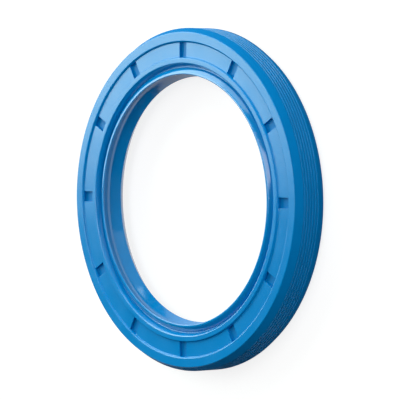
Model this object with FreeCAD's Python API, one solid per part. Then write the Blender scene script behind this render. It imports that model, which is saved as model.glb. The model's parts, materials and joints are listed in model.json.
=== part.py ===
import FreeCAD, Part
import math
import os

# Radial shaft seal with a dust lip, for an 80 mm shaft in a 110 mm housing bore.
# One rubber body is moulded round an L-shaped steel ring, and a garter spring
# sits in a groove behind the sealing lip.
# Z is the shaft's axis. Z = 0 is the oil-side end, and the air-side face is up.
# Radii in the section are worked out from the shaft or from the housing bore,
# and heights from the air-side face or from the oil-side end. All in mm.

# What the seal fits
shaft_d = 80.0
housing_d = 110.0
seal_width = 12.0

# Outside: chamfered ends, and grooves that leave narrow ribs for the press fit
chamfer_angle = 30.0
air_chamfer_length = 2.35
oil_chamfer_length = 2.0
end_edge_radius = 0.4
face_edge_radius = 0.3
groove_pitch = 1.12
groove_half_width = 0.3
groove_depth = 0.22
first_groove_below_chamfer = 0.65
least_land_below_grooves = 1.0

# Air-side face: two rims, a shallow recess between them, and pockets in its floor
outer_rim_width = 3.0
inner_rim_bore_gap = 3.66
inner_rim_width = 1.7
inner_rim_edge_radius = 0.45
recess_depth = 0.62
recess_wall_run = 0.25
recess_edge_radius = 0.3
pocket_count = 12
pocket_width = 3.3
pocket_depth = 0.9

# Dust lip and the groove between it and the inner rim
dust_lip_interference = 0.1
dust_lip_tip_depth = 0.42
dust_lip_thickness = 1.0
dust_lip_root_gap = 1.15
dust_lip_root_depth = 3.0
dust_lip_shoulder_gap = 2.05
dust_lip_shoulder_depth = 1.25
dust_lip_shoulder_radius = 0.6
rim_groove_gap = 2.6
rim_groove_depth = 2.3
rim_groove_radius = 0.25

# Neck between the two lips
neck_gap = 1.25
neck_depth = 3.95
neck_radius = 0.6
crease_gap = 0.83
crease_depth = 4.85

# Sealing lip
lip_interference = 0.5
lip_edge_depth = 7.35
lip_land = 0.24
lip_end_depth = 9.7
lip_oil_angle = 39.0
lip_head_gap = 2.7
lip_head_edge_radius = 0.25

# Garter spring and its groove
spring_coil_d = 2.3
spring_wire_d = 0.45
spring_above_lip_edge = 0.35
spring_seat_thickness = 1.5
spring_clearance = 0.03

# Membrane outside, from the spring groove up to the web
membrane_gap = 2.3
membrane_shoulder = 0.4
web_fillet_radius = 0.7

# Steel ring and the rubber round it
steel_thickness = 1.2
steel_bend_radius = 0.8
sheath_thickness = 1.5
leg_lining = 0.8
web_lining = 0.7
pocket_skin = 0.4
steel_inner_edge_cover = 1.0
steel_end_cover = 1.0
cavity_corner_radius = 0.8

# Worked out from the sizes above
shaft_r = shaft_d / 2
housing_r = housing_d / 2
chamfer_slope = math.tan(math.radians(chamfer_angle))
lip_r = shaft_r - lip_interference
dust_lip_r = shaft_r - dust_lip_interference
face_r = housing_r - air_chamfer_length * chamfer_slope
oil_end_r = housing_r - oil_chamfer_length * chamfer_slope
recess_outer_r = face_r - outer_rim_width
rim_bore_r = shaft_r + inner_rim_bore_gap
recess_inner_r = rim_bore_r + inner_rim_width
steel_outer_r = housing_r - sheath_thickness
steel_leg_bore_r = steel_outer_r - steel_thickness
cavity_r = steel_leg_bore_r - leg_lining
steel_web_bore_r = rim_bore_r + steel_inner_edge_cover

recess_floor_z = seal_width - recess_depth
pocket_floor_z = recess_floor_z - pocket_depth
steel_top_z = pocket_floor_z - pocket_skin
steel_web_z = steel_top_z - steel_thickness
web_z = steel_web_z - web_lining
lip_edge_z = seal_width - lip_edge_depth
lip_end_z = seal_width - lip_end_depth

spring_r = spring_coil_d / 2
spring_groove_r = spring_r + spring_clearance
spring_ring_r = lip_r + spring_seat_thickness + spring_groove_r
spring_z = lip_edge_z + spring_above_lip_edge


def rounded_outline(corners):
    """Closed outline in the XZ plane from (r, z, corner radius), with tangent arcs."""
    points = [FreeCAD.Vector(r, 0, z) for r, z, _ in corners]
    edges = []
    entries = []
    exits = []
    middles = []
    for i, (_, _, radius) in enumerate(corners):
        here = points[i]
        before = points[i - 1] - here
        after = points[(i + 1) % len(points)] - here
        turn = before.getAngle(after)
        # a rounding takes at most 45% of the shorter side beside it
        cut = min(radius / math.tan(turn / 2), 0.45 * before.Length, 0.45 * after.Length)
        entry = here + before.normalize() * cut
        leave = here + after.normalize() * cut
        inward = (before + after).normalize()
        reach = cut / math.cos(turn / 2) - cut * math.tan(turn / 2)
        entries.append(entry)
        exits.append(leave)
        middles.append(here + inward * reach)
    for i, (_, _, radius) in enumerate(corners):
        if radius > 0:
            edges.append(Part.Arc(entries[i], middles[i], exits[i]).toShape())
        edges.append(Part.LineSegment(exits[i], entries[(i + 1) % len(points)]).toShape())
    return Part.Wire(edges)


def ring(corners):
    """Solid of revolution about Z from a rounded outline."""
    face = Part.Face(rounded_outline(corners))
    return face.revolve(FreeCAD.Vector(0, 0, 0), FreeCAD.Vector(0, 0, 1), 360)


def torus(ring_r, wire_r, z):
    return Part.makeTorus(ring_r, wire_r, FreeCAD.Vector(0, 0, z))


def body_section():
    """The rubber's outline, from the oil-side end up the outside and back down the bore."""
    tip_r = dust_lip_thickness / 2
    land_top_z = lip_edge_z + lip_land / 2
    land_low_z = lip_edge_z - lip_land / 2
    lip_end_r = lip_r + (land_low_z - lip_end_z) * math.tan(math.radians(lip_oil_angle))
    outside = [
        (cavity_r, 0, end_edge_radius),
        (oil_end_r, 0, end_edge_radius),
        (housing_r, oil_chamfer_length, 0),
        (housing_r, seal_width - air_chamfer_length, 0),
        (face_r, seal_width, face_edge_radius),
    ]
    face = [
        (recess_outer_r, seal_width, recess_edge_radius),
        (recess_outer_r - recess_wall_run, recess_floor_z, recess_edge_radius),
        (recess_inner_r + recess_wall_run, recess_floor_z, recess_edge_radius),
        (recess_inner_r, seal_width, recess_edge_radius),
        (rim_bore_r, seal_width, inner_rim_edge_radius),
    ]
    dust_lip = [
        (shaft_r + rim_groove_gap, seal_width - rim_groove_depth, rim_groove_radius),
        (shaft_r + dust_lip_shoulder_gap, seal_width - dust_lip_shoulder_depth, dust_lip_shoulder_radius),
        (dust_lip_r + dust_lip_thickness, seal_width - dust_lip_tip_depth, tip_r),
        (dust_lip_r, seal_width - dust_lip_tip_depth, tip_r),
        (shaft_r + dust_lip_root_gap, seal_width - dust_lip_root_depth, neck_radius),
    ]
    sealing_lip = [
        (shaft_r + neck_gap, seal_width - neck_depth, neck_radius),
        (shaft_r + crease_gap, seal_width - crease_depth, 0),
        (lip_r, land_top_z, 0),
        (lip_r, land_low_z, 0),
        (lip_end_r, lip_end_z, 0),
        (shaft_r + lip_head_gap, lip_end_z, lip_head_edge_radius),
    ]
    membrane = [
        (shaft_r + lip_head_gap, spring_z + spring_groove_r, lip_head_edge_radius),
        (shaft_r + membrane_gap, spring_z + spring_groove_r + membrane_shoulder, 0),
        (shaft_r + membrane_gap, web_z, web_fillet_radius),
        (cavity_r, web_z, cavity_corner_radius),
    ]
    return outside + face + dust_lip + sealing_lip + membrane


def rib_grooves():
    """Rings of circular section that leave shallow grooves in the outside."""
    wire_r = (groove_half_width ** 2 + groove_depth ** 2) / (2 * groove_depth)
    ring_r = housing_r - groove_depth + wire_r
    top_z = seal_width - air_chamfer_length - first_groove_below_chamfer
    lowest_z = oil_chamfer_length + least_land_below_grooves + groove_half_width
    count = 1 + int((top_z - lowest_z) / groove_pitch)
    return [torus(ring_r, wire_r, top_z - i * groove_pitch) for i in range(count)]


def pockets():
    """Bars across the ring under the recess, trimmed to the recess floor's width."""
    low_r = recess_inner_r + recess_wall_run
    high_r = recess_outer_r - recess_wall_run
    height = pocket_depth + recess_depth / 2
    centre = FreeCAD.Vector(0, 0, pocket_floor_z)
    track = Part.makeCylinder(high_r, height, centre).cut(Part.makeCylinder(low_r, height, centre))
    bars = []
    for i in range(pocket_count):
        bar = Part.makeBox(housing_r, pocket_width, height)
        bar.translate(FreeCAD.Vector(0, -pocket_width / 2, pocket_floor_z))
        bar.rotate(FreeCAD.Vector(0, 0, 0), FreeCAD.Vector(0, 0, 1), i * 360 / pocket_count)
        bars.append(bar.common(track))
    return bars


def stiffening_ring():
    """Pressed steel ring of L section: a leg along the outside and a web across the face."""
    inside = steel_bend_radius
    outside = steel_bend_radius + steel_thickness
    return ring([
        (steel_leg_bore_r, steel_end_cover, 0),
        (steel_outer_r, steel_end_cover, 0),
        (steel_outer_r, steel_top_z, outside),
        (steel_web_bore_r, steel_top_z, 0),
        (steel_web_bore_r, steel_web_z, 0),
        (steel_leg_bore_r, steel_web_z, inside),
    ])


def garter_spring():
    """The close-wound coil's envelope: a tube one wire thick, joined into a ring."""
    bore_r = spring_r - spring_wire_d
    return torus(spring_ring_r, spring_r, spring_z).cut(torus(spring_ring_r, bore_r, spring_z))


def rubber_body():
    """The moulding, with its ribs, pockets and spring groove, and room for the steel."""
    body = ring(body_section())
    body = body.cut(rib_grooves())
    body = body.cut(pockets())
    body = body.cut(torus(spring_ring_r, spring_groove_r, spring_z))
    return body.cut(stiffening_ring())


os.makedirs("parts", exist_ok=True)
nodes = {
    "rubber_body": rubber_body(),
    "stiffening_ring": stiffening_ring(),
    "garter_spring": garter_spring(),
}
for name, shape in nodes.items():
    shape.exportStep("parts/" + name + ".step")
    print(name, len(shape.Solids), "solid,", round(shape.Volume / 1000, 3), "cm3, valid:", shape.isValid())
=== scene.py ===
# Radial shaft seal in blue nitrile rubber. It lies flat on its oil-side end,
# with the pocketed air-side face up, and the camera looks down on it.
import json
import math

import bpy
import numpy as np
from mathutils import Matrix, Vector


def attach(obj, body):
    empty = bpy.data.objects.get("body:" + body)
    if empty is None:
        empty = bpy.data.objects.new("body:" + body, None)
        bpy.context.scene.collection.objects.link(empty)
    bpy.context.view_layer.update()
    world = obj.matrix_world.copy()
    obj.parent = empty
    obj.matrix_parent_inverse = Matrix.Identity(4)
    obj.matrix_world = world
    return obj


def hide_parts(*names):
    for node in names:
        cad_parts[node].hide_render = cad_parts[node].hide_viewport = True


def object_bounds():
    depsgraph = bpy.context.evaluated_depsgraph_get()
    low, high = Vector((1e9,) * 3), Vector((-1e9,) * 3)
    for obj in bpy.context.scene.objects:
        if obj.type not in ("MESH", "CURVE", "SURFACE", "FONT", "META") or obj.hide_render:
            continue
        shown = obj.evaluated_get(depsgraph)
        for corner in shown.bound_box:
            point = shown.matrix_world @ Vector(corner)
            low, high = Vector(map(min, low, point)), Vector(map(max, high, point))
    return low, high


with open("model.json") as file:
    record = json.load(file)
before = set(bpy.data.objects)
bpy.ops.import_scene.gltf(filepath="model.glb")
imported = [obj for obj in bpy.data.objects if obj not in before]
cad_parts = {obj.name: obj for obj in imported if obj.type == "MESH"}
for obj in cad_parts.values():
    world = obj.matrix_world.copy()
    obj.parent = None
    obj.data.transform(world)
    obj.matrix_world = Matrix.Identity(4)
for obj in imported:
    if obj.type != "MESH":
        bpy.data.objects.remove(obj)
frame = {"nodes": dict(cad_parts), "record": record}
cadLow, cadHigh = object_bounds()
mm = 0.001
print("frame loaded")


# sRGB hex to the linear values that sockets take
def hexToLinear(hexColour):
    channels = [int(hexColour[i:i + 2], 16) / 255 for i in (1, 3, 5)]
    linear = [c / 12.92 if c <= 0.04045 else ((c + 0.055) / 1.055) ** 2.4 for c in channels]
    return (*linear, 1.0)


# a node with its settings; an input given as a socket is linked, any other is set
def addNode(tree, kind, settings=None, inputs=None):
    node = tree.nodes.new(kind)
    for name, value in (settings or {}).items():
        setattr(node, name, value)
    for name, value in (inputs or {}).items():
        if isinstance(value, bpy.types.NodeSocket):
            tree.links.new(value, node.inputs[name])
        else:
            node.inputs[name].default_value = value
    return node


def newMaterial(name):
    material = bpy.data.materials.new(name)
    material.use_nodes = True
    material.node_tree.nodes.clear()
    return material, material.node_tree


def addPiece(name, vertices, faces, materials, replacedNode, sharpAngle):
    mesh = bpy.data.meshes.new(name)
    mesh.from_pydata([tuple(v) for v in vertices], [], [tuple(f) for f in faces])
    mesh.update()
    mesh.shade_smooth()
    mesh.set_sharp_from_angle(angle=math.radians(sharpAngle))
    for material in materials:
        mesh.materials.append(material)
    piece = bpy.data.objects.new(name, mesh)
    bpy.context.collection.objects.link(piece)
    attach(piece, "root")
    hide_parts(replacedNode)
    return piece


# section work: corners are (radius from the axis, height, rounding) in mm
def roundedOutline(corners, degreesPerStep=15):
    outline = []
    for i, (r, z, rounding) in enumerate(corners):
        corner = Vector((r, z))
        back = Vector(corners[i - 1][:2]) - corner
        ahead = Vector(corners[(i + 1) % len(corners)][:2]) - corner
        opening = back.angle(ahead)
        # a rounding takes at most 45% of the shorter side beside it
        cut = min(rounding / math.tan(opening / 2), 0.45 * back.length, 0.45 * ahead.length)
        if cut == 0:
            outline.append(corner)
            continue
        middle = (back.normalized() + ahead.normalized()).normalized()
        centre = corner + middle * cut / math.cos(opening / 2)
        entry = corner + back.normalized() * cut - centre
        leave = corner + ahead.normalized() * cut - centre
        sweep = math.pi - opening
        steps = max(2, round(math.degrees(sweep) / degreesPerStep))
        for k in range(steps + 1):
            share = k / steps
            spoke = entry * math.sin((1 - share) * sweep) + leave * math.sin(share * sweep)
            outline.append(centre + spoke / math.sin(sweep))
    return outline


# vertices of rings stacked along an outline, and the quads between them
def gridFaces(rows, columns, firstVertex=0):
    row, column = np.meshgrid(np.arange(rows), np.arange(columns), indexing="ij")
    nextRow, nextColumn = (row + 1) % rows, (column + 1) % columns
    quads = np.stack([row * columns + column, row * columns + nextColumn,
                      nextRow * columns + nextColumn, nextRow * columns + column], -1)
    return quads.reshape(-1, 4) + firstVertex


# Nitrile rubber, moulded in a turned and polished steel mould: a closed satin skin with a
# soft gloss, faint turning marks from the mould and a slightly uneven sheen.
polishedNitrile = {
    "colour": "#008AD3",
    "colourInShade": "#0083CA",
    "roughness": 0.18,
    "roughnessSwing": 0.03,
    "specular": 0.5,
    "sheenPatch": 9.0,        # mm across, where the skin released from the mould unevenly
    "mouldGrain": 0.3,        # mm, a polish grain of about 0.02 mm drawn coarse enough to show
    "grainHeight": 0.0015,    # mm
    "turningMark": 0.5,       # mm between marks, a turning feed of 0.1 mm drawn coarser to show
    "markHeight": 0.0012,     # mm
}
# The same rubber where the mould was spark eroded, on the outside's ribs and chamfers: a fine
# matt skin that scatters its gloss, so the colour stays deep, and a colour darker than the
# face's that is painted shade on the outside.
erodedAndShadedNitrile = {**polishedNitrile, "colour": "#007CC3", "colourInShade": "#0076BB",
                 "roughness": 0.6, "specular": 0.03, "grainHeight": 0.003}
# Where ground pins shaped the pockets: duller than the face, with a little of its gloss, and a
# darker colour that is painted shade in the pockets.
groundAndShadedNitrile = {**polishedNitrile, "colour": "#0080C8", "colourInShade": "#007AC0",
                 "roughness": 0.3, "specular": 0.15, "grainHeight": 0.002}
# And in the bore, where it was moulded on a lapped core: the smoothest skin, with sharp,
# bright reflections on the rim's edge and along the lips.
lappedNitrile = {**polishedNitrile, "roughness": 0.1, "roughnessSwing": 0.02, "specular": 0.85,
                 "grainHeight": 0.0005, "markHeight": 0.0004}


def makeMouldedNitrile(name, look):
    material, tree = newMaterial(name)
    place = addNode(tree, "ShaderNodeTexCoord").outputs["Object"]
    patches = addNode(tree, "ShaderNodeTexNoise", inputs={
        "Vector": place, "Scale": 1 / (look["sheenPatch"] * mm), "Detail": 3.0, "Roughness": 0.5})
    tone = addNode(tree, "ShaderNodeMix", {"data_type": "RGBA"}, {
        "Factor": patches.outputs["Fac"],
        "A": hexToLinear(look["colourInShade"]), "B": hexToLinear(look["colour"])})
    sheen = addNode(tree, "ShaderNodeMapRange", inputs={
        "Value": patches.outputs["Fac"], "From Min": 0.3, "From Max": 0.7,
        "To Min": look["roughness"] - look["roughnessSwing"],
        "To Max": look["roughness"] + look["roughnessSwing"]})
    grain = addNode(tree, "ShaderNodeTexNoise", inputs={
        "Vector": place, "Scale": 1 / (look["mouldGrain"] * mm), "Detail": 2.0})
    grainBump = addNode(tree, "ShaderNodeBump", inputs={
        "Height": grain.outputs["Fac"], "Strength": 1.0, "Distance": look["grainHeight"] * mm})
    # the distance from the axis alone, so that the marks run round the seal
    axisPlace = addNode(tree, "ShaderNodeVectorMath", {"operation": "MULTIPLY"}, {
        0: place, 1: (1, 1, 0)})
    fromAxis = addNode(tree, "ShaderNodeVectorMath", {"operation": "LENGTH"}, {
        0: axisPlace.outputs["Vector"]})
    marks = addNode(tree, "ShaderNodeTexNoise", {"noise_dimensions": "1D"}, {
        "W": fromAxis.outputs["Value"], "Scale": 1 / (look["turningMark"] * mm), "Detail": 1.0})
    markBump = addNode(tree, "ShaderNodeBump", inputs={
        "Height": marks.outputs["Fac"], "Strength": 1.0, "Distance": look["markHeight"] * mm,
        "Normal": grainBump.outputs["Normal"]})
    skin = addNode(tree, "ShaderNodeBsdfPrincipled", inputs={
        "Base Color": tone.outputs["Result"], "Roughness": sheen.outputs["Result"],
        "IOR": 1.5, "Specular IOR Level": look["specular"], "Normal": markBump.outputs["Normal"]})
    addNode(tree, "ShaderNodeOutputMaterial", inputs={"Surface": skin.outputs["BSDF"]})
    return material


# Steel sheet, cold pressed and phosphated: a dull grey crystal skin with almost no gloss.
phosphate = {
    "colour": "#6E6F70",
    "colourDark": "#55575A",
    "roughness": 0.65,
    "crystal": 0.4,           # mm, a phosphate crystal of 0.02 mm drawn coarser to show
}


def makePhosphatedSteel(look):
    material, tree = newMaterial("phosphated_pressed_steel")
    place = addNode(tree, "ShaderNodeTexCoord").outputs["Object"]
    crystals = addNode(tree, "ShaderNodeTexNoise", inputs={
        "Vector": place, "Scale": 1 / (look["crystal"] * mm), "Detail": 4.0})
    tone = addNode(tree, "ShaderNodeMix", {"data_type": "RGBA"}, {
        "Factor": crystals.outputs["Fac"],
        "A": hexToLinear(look["colourDark"]), "B": hexToLinear(look["colour"])})
    skin = addNode(tree, "ShaderNodeBsdfPrincipled", inputs={
        "Base Color": tone.outputs["Result"], "Metallic": 1.0, "Roughness": look["roughness"]})
    addNode(tree, "ShaderNodeOutputMaterial", inputs={"Surface": skin.outputs["BSDF"]})
    return material


# Spring wire, drawn through a die and oiled: bright, with fine streaks that dull it a little.
springWire = {
    "colour": "#C9C6C0",
    "roughness": 0.28,
    "roughnessSwing": 0.08,
    "drawingStreak": 0.15,    # mm, from the die's marks of 0.02 mm, drawn coarser to show
}


def makeDrawnSpringWire(look):
    material, tree = newMaterial("drawn_spring_steel_wire")
    place = addNode(tree, "ShaderNodeTexCoord").outputs["Object"]
    streaks = addNode(tree, "ShaderNodeTexNoise", inputs={
        "Vector": place, "Scale": 1 / (look["drawingStreak"] * mm), "Detail": 2.0})
    dulling = addNode(tree, "ShaderNodeMapRange", inputs={
        "Value": streaks.outputs["Fac"],
        "To Min": look["roughness"] - look["roughnessSwing"],
        "To Max": look["roughness"] + look["roughnessSwing"]})
    skin = addNode(tree, "ShaderNodeBsdfPrincipled", inputs={
        "Base Color": hexToLinear(look["colour"]), "Metallic": 1.0,
        "Roughness": dulling.outputs["Result"]})
    addNode(tree, "ShaderNodeOutputMaterial", inputs={"Surface": skin.outputs["BSDF"]})
    return material


# The rubber moulding, in mm and degrees. Gaps are from the shaft's radius, depths from the air
# side, and a pair is a gap and a depth.
mounts = {mount["name"]: mount["dims"] for mount in frame["record"]["mounts"]}
seal = {
    "outsideRadius": mounts["housing_seat"]["r_mm"],
    "lipRadius": mounts["shaft_seat"]["r_mm"],
    "width": (cadHigh.z - cadLow.z) / mm,
    "lipInterference": 0.5,
    "chamferAngle": 30.0,
    "airChamferLength": 2.35,
    "oilChamferLength": 2.0,
    "endEdgeRadius": 0.4,
    "faceEdgeRadius": 0.3,
    "polishedEdgeShare": 0.2, # of the face's edge rounding, outwards, that is polished
    "grooveCount": 6,
    "groovePitch": 1.12,
    "grooveHalfWidth": 0.3,
    "grooveDepth": 0.22,
    "grooveFloorShare": 0.45, # of its width, before the rounding
    "firstGrooveDepth": 3.0,
    "landEdgeRadius": 0.05,
    "leastFlankFall": 0.005,  # of a strip's radius, from where it counts as a groove's flank
    "outerRimWidth": 3.0,
    "innerRimBoreGap": 3.66,
    "innerRimWidth": 1.7,
    "innerRimEdgeRadius": 0.45,
    "recessDepth": 0.62,
    "recessWallRun": 0.25,
    "recessOuterEdgeRadius": 0.45,
    "recessInnerEdgeRadius": 0.2,
    "recessFootRadius": 0.2,
    "dustLipInterference": 0.1,
    "dustLipTipDepth": 0.42,
    "dustLipThickness": 1.0,
    "dustLipShoulder": (2.05, 1.25),
    "dustLipRounding": 0.6,
    "dustLipRoot": (1.15, 3.0),
    "rimGrooveGap": 2.6,
    "rimGrooveDepth": 2.3,
    "rimGrooveRadius": 0.25,
    "neck": (1.25, 3.95),
    "neckRadius": 0.6,
    "crease": (0.83, 4.85),
    "lipEdgeDepth": 7.35,
    "lipLand": 0.24,
    "lipEndDepth": 9.7,
    "lipOilAngle": 39.0,
    "lipHeadGap": 2.7,
    "lipHeadRadius": 0.25,
    "membraneGap": 2.3,
    "membraneShoulder": 0.4,
    "webDepth": 3.82,
    "webFilletRadius": 0.7,
    "cavityRadius": 51.5,
    "cavityCornerRadius": 0.8,
    "sharpAngle": 34,         # steeper bends are shaded as edges
}
pocket = {
    "count": 12,
    "width": 3.3,
    "depth": 0.9,
    "rimRounding": 0.06,
    "floorRounding": 0.08,
    "draft": 0.02,
    "columnsBetween": 12,
    "groundFrom": 0.01,       # share of the depth below which the finish is ground, its darker colour painted shade
}
steelRing = {
    "outerRadius": 53.5,
    "thickness": 1.2,
    "bendRadius": 0.8,
    "webBoreGap": 4.66,
    "topDepth": 1.92,
    "endCover": 1.0,
    "columns": 180,           # round the room that the rubber leaves for it
}
spring = {
    "coilDiameter": 2.3,
    "wireDiameter": 0.45,
    "seatThickness": 1.5,
    "clearance": 0.03,
    "aboveLipEdge": 0.35,
    "stepsPerTurn": 12,
    "wireSides": 6,
    "turnGap": 1.01,          # pitch of the turns over the wire's diameter
    "seatSteps": 18,
    "sharpAngle": 80,
}
shaftRadius = seal["lipRadius"] + seal["lipInterference"]
springCoilRadius = spring["coilDiameter"] / 2
springGrooveRadius = springCoilRadius + spring["clearance"]
springRingRadius = seal["lipRadius"] + spring["seatThickness"] + springGrooveRadius
springHeight = seal["width"] - seal["lipEdgeDepth"] + spring["aboveLipEdge"]


# one groove between ribs, as four corners that the rounding turns into a shallow arc
def grooveCorners(depth):
    outside, height = seal["outsideRadius"], seal["width"] - depth
    half = seal["grooveHalfWidth"]
    floor = outside - seal["grooveDepth"]
    land = seal["landEdgeRadius"]
    flat = half * seal["grooveFloorShare"]
    return [(outside, height - half, land), (floor, height - flat, half),
            (floor, height + flat, half), (outside, height + half, land)]


# the spring's seat, from below to above, where the coil's circle cuts the lip's head
def springSeat():
    headRadius = shaftRadius + seal["lipHeadGap"]
    reach = math.acos((headRadius - springRingRadius) / springGrooveRadius)
    angles = np.linspace(-reach, reach - 2 * math.pi, spring["seatSteps"] + 1)
    return [(springRingRadius + springGrooveRadius * math.cos(a),
             springHeight + springGrooveRadius * math.sin(a), 0) for a in angles]


def sealCorners():
    width, outside = seal["width"], seal["outsideRadius"]
    slope = math.tan(math.radians(seal["chamferAngle"]))
    faceRadius = outside - seal["airChamferLength"] * slope
    oilEndRadius = outside - seal["oilChamferLength"] * slope
    ribs = []
    for i in reversed(range(seal["grooveCount"])):
        ribs += grooveCorners(seal["firstGrooveDepth"] + i * seal["groovePitch"])
    recessOuter = faceRadius - seal["outerRimWidth"]
    rimBore = shaftRadius + seal["innerRimBoreGap"]
    recessInner = rimBore + seal["innerRimWidth"]
    floor = width - seal["recessDepth"]
    dustLip = shaftRadius - seal["dustLipInterference"]
    dustLipTop = width - seal["dustLipTipDepth"]
    tipRounding = seal["dustLipThickness"] / 2
    grooveFloor = width - seal["rimGrooveDepth"]
    landTop = width - seal["lipEdgeDepth"] + seal["lipLand"] / 2
    landLow = landTop - seal["lipLand"]
    lipEnd = width - seal["lipEndDepth"]
    oilSlope = math.tan(math.radians(seal["lipOilAngle"]))
    lipEndRadius = seal["lipRadius"] + (landLow - lipEnd) * oilSlope
    head = shaftRadius + seal["lipHeadGap"]
    membrane = shaftRadius + seal["membraneGap"]
    grooveTop = springHeight + springGrooveRadius
    web = width - seal["webDepth"]
    return [
        (seal["cavityRadius"], 0, seal["endEdgeRadius"]),
        (oilEndRadius, 0, seal["endEdgeRadius"]),
        (outside, seal["oilChamferLength"], 0),
        *ribs,
        (outside, width - seal["airChamferLength"], 0),
        (faceRadius, width, seal["faceEdgeRadius"]),
        (recessOuter, width, seal["recessOuterEdgeRadius"]),
        (recessOuter - seal["recessWallRun"], floor, seal["recessFootRadius"]),
        (recessInner + seal["recessWallRun"], floor, seal["recessFootRadius"]),
        (recessInner, width, seal["recessInnerEdgeRadius"]),
        (rimBore, width, seal["innerRimEdgeRadius"]),
        (shaftRadius + seal["rimGrooveGap"], grooveFloor, seal["rimGrooveRadius"]),
        (shaftRadius + seal["dustLipShoulder"][0], width - seal["dustLipShoulder"][1],
         seal["dustLipRounding"]),
        (dustLip + seal["dustLipThickness"], dustLipTop, tipRounding),
        (dustLip, dustLipTop, tipRounding),
        (shaftRadius + seal["dustLipRoot"][0], width - seal["dustLipRoot"][1], seal["neckRadius"]),
        (shaftRadius + seal["neck"][0], width - seal["neck"][1], seal["neckRadius"]),
        (shaftRadius + seal["crease"][0], width - seal["crease"][1], 0),
        (seal["lipRadius"], landTop, 0),
        (seal["lipRadius"], landLow, 0),
        (lipEndRadius, lipEnd, 0),
        (head, lipEnd, seal["lipHeadRadius"]),
        *springSeat(),
        (head, grooveTop, seal["lipHeadRadius"]),
        (membrane, grooveTop + seal["membraneShoulder"], 0),
        (membrane, web, seal["webFilletRadius"]),
        (seal["cavityRadius"], web, seal["cavityCornerRadius"]),
    ]


# from a pocket's rim down to its floor: (how far outside the wall's line, share of the depth)
def pocketWall():
    rim, foot, depth = pocket["rimRounding"], pocket["floorRounding"], pocket["depth"]
    angles = [math.radians(a) for a in (0, 30, 60, 90)]
    steps = [(pocket["draft"] + rim * (1 - math.sin(a)), rim * (1 - math.cos(a)) / depth)
             for a in angles]
    steps += [(-pocket["draft"] - foot * (1 - math.cos(a)), 1 - foot * (1 - math.sin(a)) / depth)
              for a in angles]
    return steps


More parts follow.
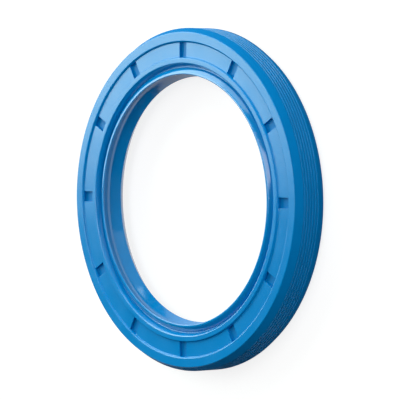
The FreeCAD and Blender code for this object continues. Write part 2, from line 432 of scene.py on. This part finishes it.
def buildRubberBody(polished, erodedAndShaded, lapped, groundAndShaded):
    outline = roundedOutline(sealCorners())
    width, floor = seal["width"], seal["width"] - seal["recessDepth"]
    wall = pocketWall()
    # the edges of the recess's floor, and the stretch of the outline that runs down into the
    # recess and out again
    slope = math.tan(math.radians(seal["chamferAngle"]))
    faceRadius = seal["outsideRadius"] - seal["airChamferLength"] * slope
    high = faceRadius - seal["outerRimWidth"] - seal["recessWallRun"]
    low = shaftRadius + seal["innerRimBoreGap"] + seal["innerRimWidth"] + seal["recessWallRun"]
    margin, hair = 1.0, 1e-4  # mm
    inRecess = [i for i, p in enumerate(outline)
                if low - margin < p.x < high + margin and floor - hair < p.y < width - hair]
    recess = outline[inRecess[0] - 1:inRecess[-1] + 2]
    radii = [p.x for p in recess] + [high + out for out, _ in wall] + [low - out for out, _ in wall]
    radii = sorted(set(round(r, 4) for r in radii), reverse=True)
    heights = np.interp(radii, [p.x for p in reversed(recess)], [p.y for p in reversed(recess)])
    offsets, shares = [w[0] for w in reversed(wall)], [w[1] for w in reversed(wall)]
    endShares = [np.interp(max(r - high, low - r), offsets, shares) for r in radii]

    before, after = outline[:inRecess[0] - 1], outline[inRecess[-1] + 2:]
    rowRadius = np.array([p.x for p in before] + radii + [p.x for p in after])
    rowHeight = np.array([p.y for p in before] + list(heights) + [p.y for p in after])
    rowShare = np.array([0.0] * len(before) + endShares + [0.0] * len(after))

    # columns follow the pockets' straight sides, so their angle depends on the radius
    half = pocket["width"] / 2
    acrossPocket = [-(half + out) for out, _ in wall] + [-half / 2, 0, half / 2]
    acrossPocket += [half + out for out, _ in reversed(wall)]
    pocketShares = [share for _, share in wall] + [1, 1, 1] + [share for _, share in reversed(wall)]
    reach = np.clip(rowRadius, low, high)[:, None]
    pocketAngles = np.arcsin(np.array(acrossPocket)[None, :] / reach)
    sector = 2 * math.pi / pocket["count"]
    gap = np.linspace(0, 1, pocket["columnsBetween"] + 1)[1:-1][None, :]
    lastAngle, nextAngle = pocketAngles[:, -1:], sector + pocketAngles[:, :1]
    oneSector = np.hstack([pocketAngles, lastAngle + (nextAngle - lastAngle) * gap])
    angles = np.hstack([oneSector + k * sector for k in range(pocket["count"])])
    columnShare = np.tile(pocketShares + [0.0] * gap.size, pocket["count"])

    sunk = np.minimum(rowShare[:, None], columnShare[None, :])
    pocketFloor = floor - pocket["depth"]
    z = rowHeight[:, None] * (1 - sunk) + pocketFloor * sunk
    x, y = rowRadius[:, None] * np.cos(angles), rowRadius[:, None] * np.sin(angles)
    vertices = np.stack([x, y, z], -1).reshape(-1, 3)
    faces = gridFaces(*angles.shape)

    # the room inside for the steel ring, as an inward-facing shell
    cavityOutline = list(reversed(steelOutline()))
    cavityVertices, cavityFaces = revolve(cavityOutline, steelRing["columns"], len(vertices))
    vertices = np.vstack([vertices, cavityVertices]) * mm
    piece = addPiece("rubber_moulding", vertices, np.vstack([faces, cavityFaces]),
                     [polished, erodedAndShaded, lapped, groundAndShaded],
                     "rubber_body", seal["sharpAngle"])

    # the finish of each face, as its place in the list of materials: eroded on the outside, with
    # its darker colour painted shade, but for the grooves' flanks that face up, whose lighter
    # colour is painted light beside the lamps' real glints in their gloss, lapped in the bore from
    # the inner rim's edge inwards, ground in the pockets, whose darker colour is painted shade too,
    # and polished everywhere else
    nextRadius = np.roll(rowRadius, -1)
    amongRibs = rowRadius > seal["outsideRadius"] - seal["grooveDepth"] - hair
    fallsInwards = nextRadius < rowRadius - seal["leastFlankFall"]
    flankFacingUp = amongRibs & np.roll(amongRibs, -1) & fallsInwards
    onOutside = rowRadius > faceRadius + seal["faceEdgeRadius"] * seal["polishedEdgeShare"]
    inBore = rowRadius < shaftRadius + seal["innerRimBoreGap"] + seal["innerRimEdgeRadius"]
    inPocket = sunk > pocket["groundFrom"]
    isPolished, isErodedAndShaded, isLapped, isGroundAndShaded = range(4)
    finish = np.full(sunk.shape, isPolished)
    finish[onOutside & np.roll(onOutside, -1)] = isErodedAndShaded
    finish[flankFacingUp] = isPolished
    finish[inBore & np.roll(inBore, -1)] = isLapped
    finish[inPocket & np.roll(inPocket, -1, 0) & np.roll(inPocket, -1, 1)] = isGroundAndShaded
    cavityFinish = np.full(len(cavityFaces), isPolished)
    finishes = np.append(finish.reshape(-1), cavityFinish)
    piece.data.polygons.foreach_set("material_index", finishes)
    return piece


def steelOutline():
    outer, thickness = steelRing["outerRadius"], steelRing["thickness"]
    top = seal["width"] - steelRing["topDepth"]
    inner = shaftRadius + steelRing["webBoreGap"]
    return roundedOutline([
        (outer - thickness, steelRing["endCover"], 0),
        (outer, steelRing["endCover"], 0),
        (outer, top, steelRing["bendRadius"] + thickness),
        (inner, top, 0),
        (inner, top - thickness, 0),
        (outer - thickness, top - thickness, steelRing["bendRadius"]),
    ])


def revolve(outline, columns, firstVertex):
    angle = np.arange(columns) * 2 * math.pi / columns
    r = np.array([p.x for p in outline])[:, None]
    z = np.array([p.y for p in outline])[:, None] + 0 * angle[None, :]
    vertices = np.stack([r * np.cos(angle), r * np.sin(angle), z], -1).reshape(-1, 3)
    return vertices, gridFaces(len(outline), columns, firstVertex)


# The garter spring: close-wound turns of wire round a ring
def buildGarterSpring(material):
    wireRadius = spring["wireDiameter"] / 2
    coilRadius = springCoilRadius - wireRadius
    turns = int(2 * math.pi * springRingRadius / (spring["wireDiameter"] * spring["turnGap"]))
    steps = turns * spring["stepsPerTurn"]
    along = np.arange(steps) * 2 * math.pi / steps
    winding = along * turns
    outward = np.stack([np.cos(along), np.sin(along), 0 * along], -1)
    forward = np.stack([-np.sin(along), np.cos(along), 0 * along], -1)
    up = np.array([0, 0, 1.0])
    spoke = np.cos(winding)[:, None] * outward + np.sin(winding)[:, None] * up
    around = -np.sin(winding)[:, None] * outward + np.cos(winding)[:, None] * up
    centre = springRingRadius * outward + coilRadius * spoke + springHeight * up
    reachOut = springRingRadius + coilRadius * np.cos(winding)[:, None]
    travel = around * coilRadius * turns + forward * reachOut
    travel /= np.linalg.norm(travel, axis=1)[:, None]
    side = np.cross(travel, spoke)
    turnAngle = np.arange(spring["wireSides"]) * 2 * math.pi / spring["wireSides"]
    wire = (np.cos(turnAngle)[None, :, None] * spoke[:, None, :]
            + np.sin(turnAngle)[None, :, None] * side[:, None, :])
    vertices = (centre[:, None, :] + wireRadius * wire).reshape(-1, 3) * mm
    faces = gridFaces(steps, spring["wireSides"])[:, ::-1]
    addPiece("garter_spring_coil", vertices, faces, [material],
             "garter_spring", spring["sharpAngle"])


polishedRubber = makeMouldedNitrile("polished_moulded_nitrile", polishedNitrile)
# the outside's rubber: its darker colour is painted shade
erodedAndShadedRubber = makeMouldedNitrile("eroded_moulded_nitrile", erodedAndShadedNitrile)
lappedRubber = makeMouldedNitrile("lapped_moulded_nitrile", lappedNitrile)
# the pockets' rubber: its darker colour is painted shade
groundAndShadedRubber = makeMouldedNitrile("ground_moulded_nitrile", groundAndShadedNitrile)
steelMaterial = makePhosphatedSteel(phosphate)
wireMaterial = makeDrawnSpringWire(springWire)
print("materials made")

rubberBody = buildRubberBody(polishedRubber, erodedAndShadedRubber, lappedRubber, groundAndShadedRubber)
weighting = rubberBody.modifiers.new("flat faces stay flat", "WEIGHTED_NORMAL")
weighting.keep_sharp = True
buildGarterSpring(wireMaterial)
steelNode = frame["nodes"]["stiffening_ring"]
steelNode.data.materials.clear()
steelNode.data.materials.append(steelMaterial)
print("pieces built")

# Pale paper floor. Camera, gloss and glass see it white, with a light shadow.
floorLook = {
    "size": 6.0,              # m
    "paper": "#7E7E7E",
    "shadowKept": 0.26,
    "whiteLift": 0.84,
}


def buildFloor(look):
    half = look["size"] / 2
    mesh = bpy.data.meshes.new("studio_floor")
    corners = [(-half, -half, 0), (half, -half, 0), (half, half, 0), (-half, half, 0)]
    mesh.from_pydata(corners, [], [(0, 1, 2, 3)])
    floor = bpy.data.objects.new("studio_floor", mesh)
    floor.location.z = cadLow.z
    bpy.context.collection.objects.link(floor)
    material, tree = newMaterial("white_paper_floor")
    paper = addNode(tree, "ShaderNodeBsdfDiffuse", inputs={"Color": hexToLinear(look["paper"])})
    kept = addNode(tree, "ShaderNodeBsdfDiffuse", inputs={"Color": (*[look["shadowKept"]] * 3, 1)})
    lift = addNode(tree, "ShaderNodeEmission", inputs={"Strength": look["whiteLift"]})
    seen = addNode(tree, "ShaderNodeAddShader", inputs={0: kept.outputs[0], 1: lift.outputs[0]})
    path = addNode(tree, "ShaderNodeLightPath")
    cameraOrGloss = addNode(tree, "ShaderNodeMath", {"operation": "MAXIMUM"}, {
        0: path.outputs["Is Camera Ray"], 1: path.outputs["Is Glossy Ray"]})
    anySeen = addNode(tree, "ShaderNodeMath", {"operation": "MAXIMUM"}, {
        0: cameraOrGloss.outputs[0], 1: path.outputs["Is Transmission Ray"]})
    mix = addNode(tree, "ShaderNodeMixShader", inputs={
        0: anySeen.outputs[0], 1: paper.outputs[0], 2: seen.outputs[0]})
    addNode(tree, "ShaderNodeOutputMaterial", inputs={"Surface": mix.outputs[0]})
    mesh.materials.append(material)
    return floor


buildFloor(floorLook)

# Three tall windows side by side, a dim panel beside them, a box overhead, and a low strip
# that fills the outside's shaded side and is kept out of the gloss. Azimuth is from +X
# towards +Y, distances, heights and sizes in metres, power in watts; a box is turned to the
# point at aimHeight on the seal's axis.
softBoxes = [
    {"name": "window_left", "azimuth": 97, "distance": 0.8, "height": 0.435, "aimHeight": 0.435,
     "size": (0.49, 0.85), "power": 3.2, "colour": "#E4FAF2"},
    {"name": "window_middle", "azimuth": 131, "distance": 0.8, "height": 0.435, "aimHeight": 0.435,
     "size": (0.49, 0.85), "power": 5.2, "colour": "#E4FAF2"},
    {"name": "window_right", "azimuth": 164, "distance": 0.8, "height": 0.56, "aimHeight": 0.56,
     "size": (0.49, 0.6), "power": 5.2, "colour": "#E4FAF2"},
    {"name": "side_panel", "azimuth": 54, "distance": 0.8, "height": 0.435, "aimHeight": 0.435,
     "size": (0.78, 0.85), "power": 1.2, "colour": "#E4FAF2"},
    {"name": "overhead_box", "azimuth": 60, "distance": 0.2, "height": 0.78, "aimHeight": 0.0,
     "size": (0.5, 0.5), "power": 2.7, "colour": "#FFFFFF"},
    {"name": "low_fill", "azimuth": 10, "distance": 0.6, "height": 0.14, "aimHeight": 0.0,
     "size": (0.6, 0.12), "power": 1.4, "colour": "#FFFFFF", "inGloss": False},
]


def addSoftBox(box):
    data = bpy.data.lights.new(box["name"], "AREA")
    data.shape = "RECTANGLE"
    data.size, data.size_y = box["size"]
    data.energy = box["power"]
    data.color = hexToLinear(box["colour"])[:3]
    lamp = bpy.data.objects.new(box["name"], data)
    azimuth = math.radians(box["azimuth"])
    lamp.location = Vector((math.cos(azimuth), math.sin(azimuth), 0)) * box["distance"]
    lamp.location.z = box["height"]
    away = lamp.location - Vector((0, 0, box["aimHeight"]))
    lamp.rotation_mode = "QUATERNION"
    lamp.rotation_quaternion = away.to_track_quat("Z", "Y")
    lamp.visible_camera = False
    lamp.visible_glossy = box.get("inGloss", True)
    bpy.context.collection.objects.link(lamp)


for box in softBoxes:
    addSoftBox(box)

worldLook = {"colour": "#FFFFFF", "strength": 0.02}
world = bpy.data.worlds.new("dim_studio")
bpy.context.scene.world = world
world.use_nodes = True
background = world.node_tree.nodes["Background"]
background.inputs["Color"].default_value = hexToLinear(worldLook["colour"])
background.inputs["Strength"].default_value = worldLook["strength"]

# The photograph's view: about 1.08 m from the seal, 41 degrees above the floor, on its side.
camera = {
    "position": (0.815212, 0.03228, 0.708648),
    "right": (0.653858, -0.000222, -0.756617),
    "up": (-0.022683, 0.999545, -0.019895),
    "lens": 301.6,            # mm
    "sensorWidth": 36.0,      # mm
    "clip": (0.05, 20.0),     # m
}
cameraData = bpy.data.cameras.new("photo_camera")
cameraData.lens = camera["lens"]
cameraData.sensor_width = camera["sensorWidth"]
cameraData.clip_start, cameraData.clip_end = camera["clip"]
cameraObject = bpy.data.objects.new("photo_camera", cameraData)
right, up = Vector(camera["right"]), Vector(camera["up"])
turn = Matrix((right, up, right.cross(up))).transposed()
cameraObject.matrix_world = Matrix.Translation(camera["position"]) @ turn.to_4x4()
bpy.context.collection.objects.link(cameraObject)
bpy.context.scene.camera = cameraObject
bpy.context.scene.view_settings.view_transform = "Standard"
print("light and camera set")
